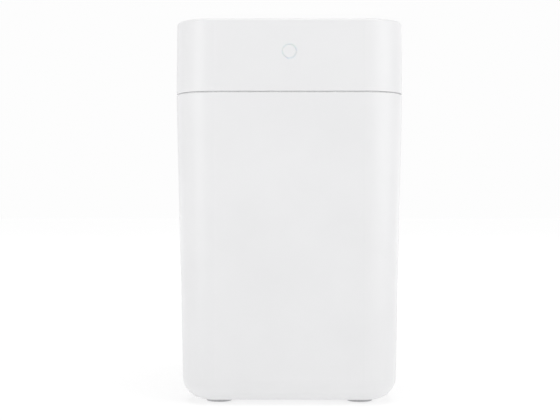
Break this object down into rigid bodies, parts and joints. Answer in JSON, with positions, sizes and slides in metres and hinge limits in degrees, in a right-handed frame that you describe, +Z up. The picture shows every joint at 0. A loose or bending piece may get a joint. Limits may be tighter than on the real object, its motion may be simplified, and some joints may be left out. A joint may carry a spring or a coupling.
{
  "type": "self-sealing waste bin",
  "caption": "Tall rounded white waste bin whose motor-lifted head holds a hinged lid, a ring of bag film and a carriage that heat-seals the bag.",
  "frame": {"origin": "on the floor under the middle of the bin's bounding box", "axes": "+Z up, front face with the button towards -Y, +X to the viewer's right from the front"},
  "size_m": [0.2406, 0.3088, 0.4025],
  "materials": {
    "white_shell": "satin moulded ABS",
    "white_lid": "satin moulded ABS",
    "grey_plastic": "fine texture",
    "light_plastic": "fine texture",
    "dark_plastic": "fine texture",
    "button_plastic": "satin",
    "diffuser": "translucent, satin",
    "window": "infrared-pass, polished",
    "silicone": "matte",
    "foot_rubber": "matte",
    "acetal": "machined",
    "steel": "ground",
    "motor_can": "rolled",
    "aluminium": "extruded",
    "heater_tape": "coated glass cloth",
    "film": "folded thin film",
    "card": "thin moulding",
    "board": "solder mask",
    "component": "moulded",
    "battery_wrap": "shrink sleeve"
  },
  "bodies": {
    "base": {"bucket_shell": "white_shell", "feet": "foot_rubber", "bucket_collar": "light_plastic", "rim_seal": "silicone", "floor_panel": "light_plastic", "rear_duct_panel": "light_plastic", "fan_housing": "dark_plastic", "fan_cover": "dark_plastic", "fan_motor": "motor_can", "battery_cells": "battery_wrap", "battery_tray": "dark_plastic", "charging_board": "board", "charging_board_parts": "component", "inlet_plate": "light_plastic", "dc_socket": "dark_plastic", "switch_frame": "dark_plastic", "hinge_knuckles": "steel", "hinge_pin": "steel", "lift_motor": "motor_can", "lift_bracket": "steel"},
    "head": {"head_shell": "white_shell", "head_base": "light_plastic", "head_screws": "steel", "hinge_barrels": "steel", "lift_sector": "acetal", "ring_well": "light_plastic", "refill_tray": "card", "refill_cover": "card", "film_pack": "film", "lid_posts": "light_plastic", "lid_pivot_pin": "steel", "lid_gearmotor": "motor_can", "control_board": "board", "control_board_parts": "component", "light_ring": "diffuser", "button_board": "board", "sensor_window": "window", "sensor_module": "component", "guide_rods": "steel", "rod_supports": "light_plastic", "racks": "acetal", "heater_holder": "grey_plastic", "heater_block": "aluminium", "heater_strip": "heater_tape"},
    "lid": {"lid_outer": "white_lid", "lid_liner": "light_plastic", "lid_shaft": "steel"},
    "carriage": {"carriage_frame": "grey_plastic", "carriage_bushes": "acetal", "press_pad": "silicone", "seal_motor": "motor_can"},
    "cross_shaft": {"cross_shaft": "steel", "shaft_pinions": "acetal"},
    "seal_gear": {"seal_motor_gear": "acetal"},
    "lift_pinion": {"lift_pinion": "steel"},
    "fan": {"fan_impeller": "dark_plastic"},
    "button": {"button_cap": "button_plastic"},
    "rocker": {"switch_rocker": "dark_plastic"}
  },
  "joints": [
    {"name": "head_hinge", "type": "hinge", "parent": "base", "child": "head", "pos_m": [0, 0.1484, 0.3265], "axis": [-1, 0, 0], "range_deg": [0, 55]},
    {"name": "lid_hinge", "type": "hinge", "parent": "head", "child": "lid", "pos_m": [0, 0.112, 0.3925], "axis": [-1, 0, 0], "range_deg": [0, 78]},
    {"name": "carriage_slide", "type": "slide", "parent": "head", "child": "carriage", "axis": [0, -1, 0], "range_m": [0, 0.1945]},
    {"name": "cross_shaft_spin", "type": "hinge", "parent": "carriage", "child": "cross_shaft", "pos_m": [0, 0.098, 0.3415], "axis": [1, 0, 0], "range_deg": [0, 1600]},
    {"name": "seal_gear_spin", "type": "hinge", "parent": "carriage", "child": "seal_gear", "pos_m": [0, 0.112, 0.3415], "axis": [1, 0, 0], "range_deg": [-1600, 0]},
    {"name": "lift_pinion_spin", "type": "hinge", "parent": "base", "child": "lift_pinion", "pos_m": [0.021, 0.11982, 0.31], "axis": [-1, 0, 0], "range_deg": [-210, 0]},
    {"name": "fan_spin", "type": "hinge", "parent": "base", "child": "fan", "pos_m": [0, 0.03, 0.02], "axis": [0, 0, 1], "continuous": true},
    {"name": "button_press", "type": "slide", "parent": "head", "child": "button", "axis": [0, 1, 0], "range_m": [0, 0.0006], "stiffness_N_per_m": 900, "springref_m": -0.001},
    {"name": "power_rocker", "type": "hinge", "parent": "base", "child": "rocker", "pos_m": [0.014, 0.1436, 0.066], "axis": [0, 0, -1], "range_deg": [0, 16]}
  ],
  "couplings": [
    {"joint": "cross_shaft_spin", "follows": "carriage_slide", "rad_per_m": 142.86},
    {"joint": "seal_gear_spin", "follows": "carriage_slide", "rad_per_m": -142.86},
    {"joint": "lift_pinion_spin", "follows": "head_hinge", "ratio": -3.7143}
  ]
}
